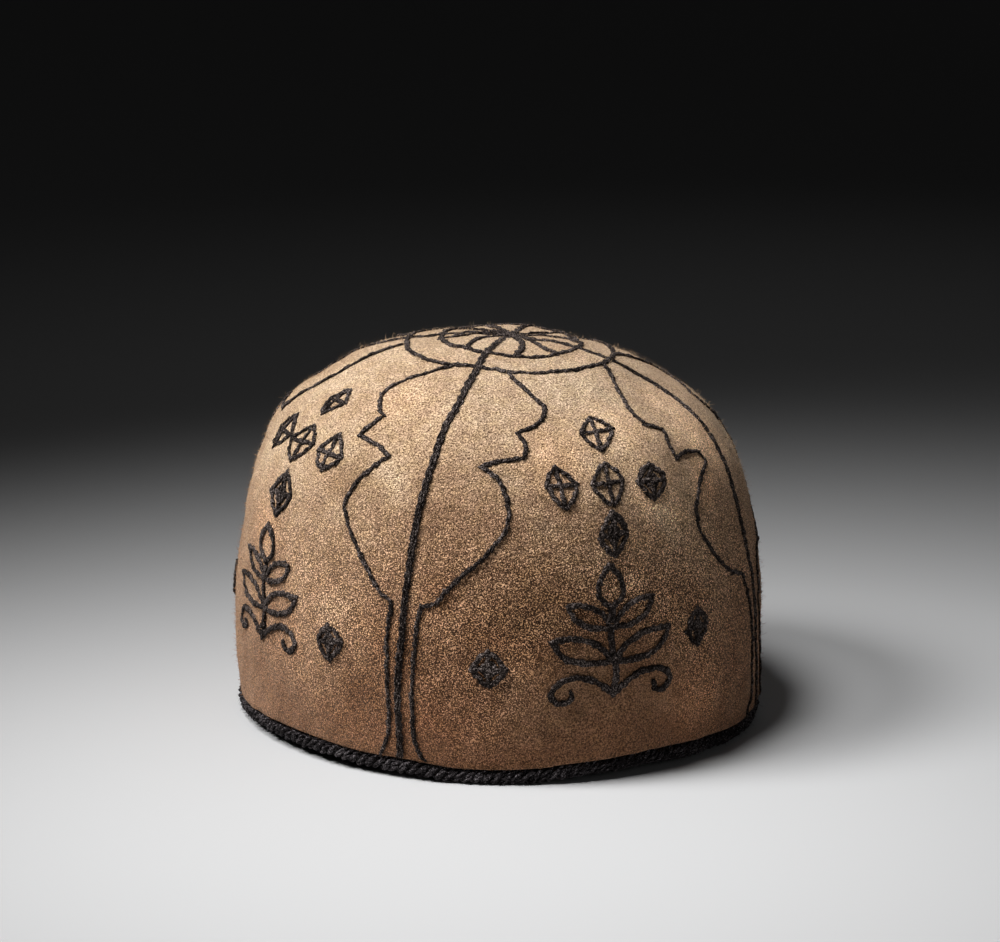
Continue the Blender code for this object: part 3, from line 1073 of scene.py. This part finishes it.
RING_LINE_STEP = 2.0  # degrees
ROSETTE_RING = ((-85, 23.5), (-65, 24), (-47.5, 25.4), (-32.5, 25.6), (-16, 27.4), (6, 28.3),
                (22, 27.9), (39, 27.8), (54.5, 27.5), (76.5, 26.5), (97.5, 24.5), (125, 25.3),
                (158, 30.5), (-168, 31.5), (-138, 28), (-112, 24.2))
OUTER_RING = ((-82.5, 35.5), (-63.5, 38), (-39, 39.7), (-16, 38.6), (5, 40.4), (30, 40), (54, 40.3),
              (81, 38.2), (105.6, 37.6), (140, 40), (-178, 42), (-140, 40), (-110, 36.5))
SPOKES = (
    # places in mm after the knot, x to the right and y to the back, and the line's width
    (((3.3, -6.2), (4.6, -13.9), (4.2, -20.5), (2.3, -27.8)), 1.75),
    (((5.4, -4.2), (9.9, -11.3), (13.4, -17.3), (16.9, -22.4)), 1.25),
    (((7.9, 2.9), (15.6, 4.0), (21.5, 2.2), (25.3, -3.0)), 1.1),
    (((6.4, 5.6), (12.0, 10.0), (18.6, 15.2)), 0.9),
    (((-1.3, 5.8), (-2.5, 12.4), (-4.3, 18.5), (-6.8, 26.8)), 1.7),
    (((-5.4, 7.0), (-10.6, 12.6), (-16.6, 18.6)), 0.9),
    (((-5.0, 0.5), (-11.5, 0.6), (-17.9, -1.4), (-23.3, -3.2)), 0.9),
    (((-4.4, -2.4), (-9.6, -5.8), (-12.6, -11.8), (-14.6, -21.0)), 1.25),
)
STITCH_HEIGHT = 0.0002  # the guides of the threads over the felt
CROWN_HEIGHT = 0.00018
KNOT_HEIGHT = 0.0003
END_INSET = 0.0009  # a thread reaches this far past the first and last point of its line


def inset(points, normals):
    """The same line without its last millimetre at both ends, so that its threads end there."""
    steps = np.linalg.norm(np.diff(points, axis=0), axis=1)
    along = np.concatenate([[0], np.cumsum(steps)])
    trim = min(END_INSET, 0.3 * along[-1])
    wanted = np.concatenate([[trim], along[(along > trim) & (along < along[-1] - trim)],
                             [along[-1] - trim]])
    return tuple(np.stack([np.interp(wanted, along, rows[:, i]) for i in range(3)], axis=-1)
                 for rows in (points, normals))


def mark(places, width=1.0):
    """A line of stitches through these places."""
    return (*inset(*laid(smooth_line(places), STITCH_HEIGHT)), width)


def crown_mark(places, width):
    """A line of stitches from the knot, through places of the flat drawing."""
    line = from_flat(smooth_line((KNOT_PLACE, *places)))
    return (*laid(line, CROWN_HEIGHT), width)


STITCHES = dict(spacing=0.00118, length=0.0028, thickness=0.00120, flatness=0.50, slant=18.0,
                waver=0.00020, ragged=0.0009)
SHORT_STITCHES = dict(STITCHES, spacing=0.00105, length=0.0024)  # for small and curled shapes
crown_lines = [(*laid(ring_line(ROSETTE_RING), CROWN_HEIGHT), 1.3),
               (*laid(ring_line(OUTER_RING), CROWN_HEIGHT), 1.15)]
crown_lines += [crown_mark(places, width) for places, width in SPOKES]
KNOT = ((1.4, 1.5), (0.0, 2.6), (-1.6, 1.6), (-0.4, 0.4), (1.8, 0.6), (2.4, 2.2), (0.4, 3.2))
crown_lines.append((*laid(from_flat(smooth_line(KNOT)), KNOT_HEIGHT), 1.6))
crown_stitches = lines_piece("rosette_stitches", crown_lines)
grow(crown_stitches, stem_stitch, seed=21, finish=thread_wool, **STITCHES)

# %% Cusped outlines beside the cords
# Each is a list of strokes. Where one stroke ends and the next starts, the line turns sharply.
LEFT_OF_FRONT = (
    ((-26, 39), (-32, 44), (-37, 49), (-42, 55.5), (-43, 62), (-40, 67), (-36, 71)),
    ((-36, 71), (-37.5, 75.5), (-39, 80)),
    ((-39, 80), (-35.5, 81.2), (-32, 82.2), (-28, 85)),
    ((-28, 85), (-31, 89), (-34, 93.5), (-36.3, 100), (-36.6, 105), (-35, 110.5), (-31, 119),
     (-26.5, 129), (-25, 131.5)),
    ((-25, 131.5), (-22.8, 133.5)),
    ((-22.8, 133.5), (-23.6, 145), (-23.6, 155), (-23.3, 170), (-23.8, 182), (-25.6, 189.5)),
)
RIGHT_OF_FRONT = (
    ((1, 40.5), (7, 49), (11.8, 56.5), (13.9, 62), (11, 69), (5, 73)),
    ((5, 73), (7, 78.5), (6.6, 83.2)),
    ((6.6, 83.2), (1, 84.2), (-4, 86)),
    ((-4, 86), (0, 90), (1.4, 93.5), (2.4, 99), (2, 107), (-0.2, 112), (-3, 117), (-9, 125.5),
     (-13, 133)),
    ((-13, 133), (-16, 134.2)),
    ((-16, 134.2), (-17, 144), (-17.8, 160), (-17.9, 177), (-17.3, 184), (-15.6, 189.5)),
)
LEFT_OF_RIGHT = (
    ((56, 41), (52.5, 46), (49, 51), (45.4, 59.5), (43.4, 69), (44.5, 74)),
    ((44.5, 74), (50, 78)),
    ((50, 78), (48.6, 84), (48.8, 90)),
    ((48.8, 90), (53, 88.8), (57.5, 90.5), (58.6, 94), (55.4, 98), (51, 106), (50, 114),
     (52, 121), (55.5, 128), (60, 134)),
    ((60, 134), (65.5, 137)),
    ((65.5, 137), (67, 146), (68, 156), (68, 170), (68.5, 181), (66.5, 189.5)),
)
RIGHT_OF_LEFT = [
    # only the strokes that the camera sees; the rest runs on behind the cap's edge
    ((-77, 37), (-77.5, 45), (-77, 53), (-78.5, 61), (-81, 69), (-84, 77), (-86, 83)),
    ((-86, 83), (-90, 82.5), (-94.9, 80)),
]
RIGHT_OF_RIGHT = (
    ((81, 38.5), (85.9, 41), (90.5, 45.5), (96, 53), (99.5, 60), (98.5, 65), (93, 69), (88, 72)),
    ((88, 72), (87.8, 76), (90.6, 81), (91.6, 88)),
    ((91.6, 88), (95, 86.8), (98.5, 88), (99.5, 92)),
    ((99.5, 92), (98, 97), (97.6, 104), (97, 111), (94.5, 118), (90.5, 126), (85.5, 133)),
    ((85.5, 133), (78, 136.5)),
    ((78, 136.5), (77, 146), (76.5, 156), (77.4, 170), (78.5, 181), (81, 189.5)),
)


def mirrored(strokes, seam, onto, reach):
    """The strokes beside one seam cord, moved to the other side of a seam cord."""
    moved = []
    for stroke in strokes:
        moved.append([(seam_azimuth(onto, d) + reach * (seam_azimuth(seam, d) - a), d)
                      for a, d in stroke])
    return moved


def shifted(strokes, seam, onto):
    """The strokes beside one seam cord, moved to the same side of another."""
    return [[(a + seam_azimuth(onto, d) - seam_azimuth(seam, d), d) for a, d in s] for s in strokes]


HIDDEN_REACH = 0.5  # the strokes behind the cap's edge stay this much closer to the cord
OUTLINES = {
    "front": (LEFT_OF_FRONT, RIGHT_OF_FRONT),
    "right": (LEFT_OF_RIGHT, RIGHT_OF_RIGHT),
    "back": (shifted(LEFT_OF_FRONT, "front", "back"), shifted(RIGHT_OF_FRONT, "front", "back")),
    "left": (shifted(LEFT_OF_FRONT, "front", "left"),
             RIGHT_OF_LEFT + mirrored(LEFT_OF_FRONT[2:], "front", "left", HIDDEN_REACH)),
}
outline_lines = {"near": [], "far": []}
for name, sides in OUTLINES.items():
    group = "near" if name in ("front", "right") else "far"
    outline_lines[group] += [mark(stroke) for side in sides for stroke in side]
outline_stitches = {}
for group, lines in outline_lines.items():
    outline_stitches[group] = lines_piece("outline_stitches_" + group, lines)
    grow(outline_stitches[group], stem_stitch, seed=31, finish=thread_wool, **STITCHES)

# %% [markdown]
# ## Diamonds
# Seven small diamonds fill each panel: a cross of five high up, and a pair low down. Each is an
# outline with a cross in it, and no two are quite alike. The hidden panels repeat them.

# %% Diamonds
RIGHT_PANEL_DIAMONDS = (
    # top, right, bottom and left corner, and the width of the lines
    ((27.9, 66.7), (33.5, 73.5), (27.1, 82.6), (22.6, 74.2), 1.0),
    ((14.1, 86.1), (19.1, 93.7), (15.4, 102.1), (11.3, 93.4), 1.1),
    ((27.4, 86.1), (31.2, 93.6), (26.4, 102.6), (21.9, 94.3), 1.05),
    ((39.4, 89.6), (42.6, 96.1), (37.6, 102.4), (34.1, 94.6), 1.5),
    ((26.2, 103.3), (29.1, 110.9), (25.3, 119.1), (21.9, 111.7), 1.5),
    ((-1.8, 147.7), (2.0, 155.1), (-2.0, 161.0), (-5.6, 154.4), 1.5),
    ((45.6, 140.9), (48.3, 147.9), (44.8, 154.6), (41.9, 148.3), 1.5),
)
LEFT_PANEL_DIAMONDS = (
    ((-57.8, 63.4), (-52.2, 70.1), (-59.0, 76.5), (-62.0, 69.5), 1.2),
    ((-71.4, 79.5), (-66.1, 87.0), (-72.3, 93.2), (-75.1, 86.5), 1.2),
    ((-58.1, 80.1), (-53.3, 86.4), (-59.9, 94.6), (-64.9, 87.5), 1.15),
    ((-45.3, 80.9), (-40.9, 88.4), (-46.9, 94.2), (-50.7, 87.6), 1.2),
    ((-59.1, 97.6), (-54.9, 106.2), (-60.0, 114.5), (-64.1, 106.3), 1.5),
    ((-38.0, 145.0), (-34.2, 150.8), (-37.9, 158.6), (-41.1, 151.9), 1.5),
    ((-93.0, 144.0), (-89.6, 150.0), (-93.0, 157.0), (-96.2, 150.5), 1.4),
)
SIDE_BULGE = 1.12  # how far the middle of a side stands from the diamond's middle
CORNER_PULL = 0.93  # the corners come in a little, because a thread is longer than its line
CROSS_REACH = 0.90
FILLED_FROM = 1.4  # diamonds with lines of this width also have a small diamond inside
FILLING = 0.5  # its size as a share of the diamond


def diamond(shape):
    """The lines of a diamond with slightly round sides and a cross in it."""
    corners, width = np.array(shape[:4], float), shape[4]
    middle = corners.mean(axis=0)
    corners = middle + (corners - middle) * CORNER_PULL
    after = np.roll(corners, -1, axis=0)
    sides = middle + ((corners + after) / 2 - middle) * SIDE_BULGE
    lines = [mark(three, width) for three in zip(corners, sides, after)]
    across = middle + (corners - middle) * CROSS_REACH
    lines += [mark((across[i], across[i + 2]), width) for i in (0, 1)]
    if width >= FILLED_FROM:
        small = middle + (corners - middle) * FILLING
        lines += [mark(two, 1.0) for two in zip(small, np.roll(small, -1, axis=0))]
    return lines


def moved_on(shapes, by):
    return [(*((azimuth + by, down) for azimuth, down in shape[:4]), shape[4]) for shape in shapes]


TO_FAR_RIGHT = 95.0  # degrees from a seen panel to the hidden one beside it
TO_FAR_LEFT = -89.0
DIAMONDS = {
    "near": RIGHT_PANEL_DIAMONDS + LEFT_PANEL_DIAMONDS,
    "far": (*moved_on(RIGHT_PANEL_DIAMONDS, TO_FAR_RIGHT),
            *moved_on(LEFT_PANEL_DIAMONDS, TO_FAR_LEFT)),
}
diamond_lines = {group: [line for shape in shapes for line in diamond(shape)]
                 for group, shapes in DIAMONDS.items()}

# %% [markdown]
# ## Leaf sprigs
# Low in each panel is one bolder ornament. Ours is a sprig: a stem with a bud, two pairs of
# leaves and two curled tendrils at its foot. It is drawn in millimetres on a flat square and
# then laid on the felt, where a millimetre across is a little more than half a degree. We draw
# the stem and one half, and repeat the half on the other side of the stem.

# %% Sprigs
SPRIG_STEM = ((0, 0), (0.8, 10), (-0.6, 22), (0, 35))
STEM_WIDTH = 2.0
SPRIG_HALF = (
    # the strokes, each of x and y in mm from the middle of the foot, and the lines' width
    ((((0, 34), (-4.2, 39), (-3.4, 45), (0, 50)),), 1.6),
    ((((0, 27), (4, 33), (9, 36), (15, 36.5)),
      ((0, 27), (6.5, 27.5), (12, 30.5), (15, 36.5))), 1.6),
    ((((0, 14), (5, 20.5), (12, 24), (20.5, 24)),
      ((0, 14), (8, 14), (16, 17), (20.5, 24))), 1.7),
    ((((0, 1), (5, 6), (11, 9), (17, 8.5), (20.5, 4.5), (18.5, 0.5), (14.5, 1), (14, 4)),), 1.8),
)
MM_A_DEGREE = 1.55
SPRIGS = {
    # azimuth, mm down to its foot, and its height as a share of the drawing
    "near": ((24.0, 167.5, 0.93), (-61.5, 160.0, 0.84)),
    "far": ((115.0, 167.0, 0.93), (-150.5, 163.0, 0.88)),
}


def sprig(azimuth, foot, share):
    strokes = [(SPRIG_STEM, STEM_WIDTH)]
    for half, width in SPRIG_HALF:
        strokes += [([(side * x, y) for x, y in stroke], width)
                    for side in (1, -1) for stroke in half]
    return [mark([(azimuth + x / MM_A_DEGREE, foot - share * y) for x, y in places], width)
            for places, width in strokes]


panel_stitches = {}
for group, sprigs in SPRIGS.items():
    lines = diamond_lines[group] + [line for place in sprigs for line in sprig(*place)]
    panel_stitches[group] = lines_piece("panel_stitches_" + group, lines)
    grow(panel_stitches[group], stem_stitch, seed=41, finish=thread_wool, **SHORT_STITCHES)

# %% [markdown]
# ## Loose fibres, with Geometry Nodes
# Felt and wool are never smooth: short fibres stand off them, and they make the soft edge that
# we see against a dark ground. The tree scatters points on a surface, sets a thin bent fibre on
# each, leans it over and turns it at random. Short ones, nearly lying down, give the felt its
# nap, and few long ones stray from it. On the felt they grow outside only, where it is marked.

# %% Tree for loose fibres
FIBRE_SIDES = 3


def fibre_tree():
    tree, size = new_tree("loose fibres", per_square_metre=1000.0, length=0.001,
                          thickness=0.0001, lean=60.0, bend=0.3, segments=2, seed=1)
    seed = size.seed
    points = node(tree, "GeometryNodeDistributePointsOnFaces", {
        "Mesh": size.geometry, "Selection": worked("GREATER_THAN", named(tree, "outer"), 0.5),
        "Density": size.per_square_metre, "Seed": seed})
    placed = result(tree, "GeometryNodeStoreNamedAttribute", {
        "Geometry": out(points, "Points"), "Name": "shade", "Value": chance(0.0, 1.0, seed)})
    shape = result(tree, "GeometryNodeCurveQuadraticBezier", {
        "Resolution": 6, "Start": (0.0, 0.0, -0.05), "Middle": vector_of(tree, X=size.bend, Z=0.5),
        "End": vector_of(tree, X=size.bend * -0.4, Y=size.bend, Z=1.0)})
    shape = result(tree, "GeometryNodeResampleCurve",
                   {"Curve": shape, "Count": size.segments + 1})
    radius = size.thickness / (size.length * 2.0)
    fibre = tube(shape, FIBRE_SIDES, radius, 1.0 - along_line(tree) * 0.7)
    spun = turned_by(out(points, "Rotation"), Z=chance(0.0, math.tau, seed + 1.0))
    lean = size.lean * DEGREE * chance(0.55, 1.15, seed + 2.0)
    fibres = result(tree, "GeometryNodeInstanceOnPoints", {
        "Points": placed, "Instance": fibre, "Rotation": turned_by(spun, X=lean),
        "Scale": size.length * chance(0.5, 1.35, seed + 3.0)})
    end_tree(size, fibres)
    return tree


loose_fibres = fibre_tree()


def fuzz_on(name, piece, **sizes):
    """Loose fibres on a copy of a piece. Where nothing is marked, all of it carries them."""
    made = bpy.data.objects.new(name, piece.data.copy())
    bpy.context.scene.collection.objects.link(made)
    if "outer" not in made.data.attributes:
        mark_points(made, "outer", np.ones(len(made.data.vertices)))
    return grow(made, loose_fibres, **sizes)


# %% Nap, strays and fuzz
NAP = dict(per_square_metre=170000.0, length=0.0009, thickness=0.00016, lean=68.0, bend=0.25,
           segments=1, seed=51, finish=felt_fibre)
STRAYS = dict(per_square_metre=42000.0, length=0.0015, thickness=0.00009, lean=52.0, bend=0.55,
              segments=3, seed=61, finish=felt_fibre)
RIM_FUZZ = dict(per_square_metre=200000.0, length=0.0015, thickness=0.00010, lean=50.0, bend=0.5,
                segments=2, seed=71, finish=cord_wool)
SEAM_FUZZ = dict(per_square_metre=200000.0, length=0.0011, thickness=0.00009, lean=55.0, bend=0.5,
                 segments=1, seed=81, finish=thread_wool)
STITCH_FUZZ = dict(SEAM_FUZZ, per_square_metre=130000.0, length=0.0008, lean=60.0, seed=91)
LOWEST_FUZZ = 0.00002  # height over the floor

fuzz_on("felt_nap", felt_shell, **NAP)
fuzz_on("felt_strays", felt_shell, **STRAYS)
rim_fuzz = fuzz_on("rim_cord_fuzz", rim_cord, **RIM_FUZZ)
places = mesh_points(rim_fuzz)
places[:, 2] = np.maximum(places[:, 2], LOWEST_FUZZ)
set_points(rim_fuzz, places)
for name, cord in seam_cords.items():
    fuzz_on("seam_cord_fuzz_" + name, cord, **SEAM_FUZZ)
fuzz_on("rosette_fuzz", crown_stitches, **STITCH_FUZZ)
for kind, pieces in (("outline", outline_stitches), ("panel", panel_stitches)):
    for group, piece in pieces.items():
        fuzz_on(kind + "_" + group + "_fuzz", piece, **STITCH_FUZZ)

# %% [markdown]
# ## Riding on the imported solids
# The cap has no joints, so every piece rides on the one body. The felt shell stands for the
# solid felt, and each plied cord for its solid one.

# %% Bind the pieces
for piece in list(bpy.context.scene.objects):
    if piece.type == "MESH" and "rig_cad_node" not in piece:
        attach(piece, "root")
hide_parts("felt_cap")
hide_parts("rim_cord")
for name, cord in seam_cords.items():
    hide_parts("seam_cord_" + name)

# %% [markdown]
# ## Floor and light
# The cap stands on a plain pale floor. Two soft lamps hang to the left and a little in front,
# one high and one further out, and leave the ground behind dark, as in the photograph. Two weak
# and wide ones keep the far sides readable.

# %% Floor
FLOOR_SIZE = 12.0
FLOOR_COLOUR = (0.37, 0.37, 0.373, 1.0)
floor_data = bpy.data.meshes.new("floor")
corner = FLOOR_SIZE / 2
floor_data.from_pydata([(-corner, -corner, 0), (corner, -corner, 0), (corner, corner, 0),
                        (-corner, corner, 0)], [], [(0, 1, 2, 3)])
floor = bpy.data.objects.new("floor", floor_data)
bpy.context.scene.collection.objects.link(floor)
floor_finish = bpy.data.materials.new("pale_floor")
floor_finish.use_nodes = True
floor_shader = floor_finish.node_tree.nodes["Principled BSDF"]
floor_shader.inputs["Base Color"].default_value = FLOOR_COLOUR
floor_shader.inputs["Roughness"].default_value = 0.9
floor_shader.inputs["Specular IOR Level"].default_value = 0.1
floor_data.materials.append(floor_finish)

# %% Light
LAMPS = (
    # name, place, the point it looks at, size, watts, spread in degrees
    ("key", (-0.28, -0.15, 1.13), (0.03, -0.14, 0.03), 0.36, 1.00, 46.0),
    ("side", (-0.70, -0.20, 0.91), (0.03, -0.14, 0.03), 0.45, 1.50, 46.0),
    ("front_fill", (1.0, -1.2, 0.7), (0.0, 0.0, 0.06), 1.0, 0.20, 60.0),
    ("back_fill", (0.35, 1.3, 1.0), (0.0, 0.0, 0.06), 1.0, 0.14, 60.0),
)
for name, place, target, width, watts, spread in LAMPS:
    lamp_data = bpy.data.lights.new(name, "AREA")
    lamp_data.shape = "DISK"
    lamp_data.size = width
    lamp_data.energy = watts
    lamp_data.spread = math.radians(spread)
    lamp = bpy.data.objects.new(name, lamp_data)
    lamp.location = place
    bpy.context.scene.collection.objects.link(lamp)
    lamp.rotation_euler = (Vector(target) - lamp.location).to_track_quat("-Z", "Y").to_euler()

# %% The room's faint light
ROOM_COLOUR = (0.8, 0.8, 0.8, 1.0)
ROOM_STRENGTH = 0.012
world = bpy.data.worlds.new("studio")
world.use_nodes = True
room = world.node_tree.nodes["Background"]
room.inputs["Color"].default_value = ROOM_COLOUR
room.inputs["Strength"].default_value = ROOM_STRENGTH
bpy.context.scene.world = world
bpy.context.scene.view_settings.view_transform = "Standard"
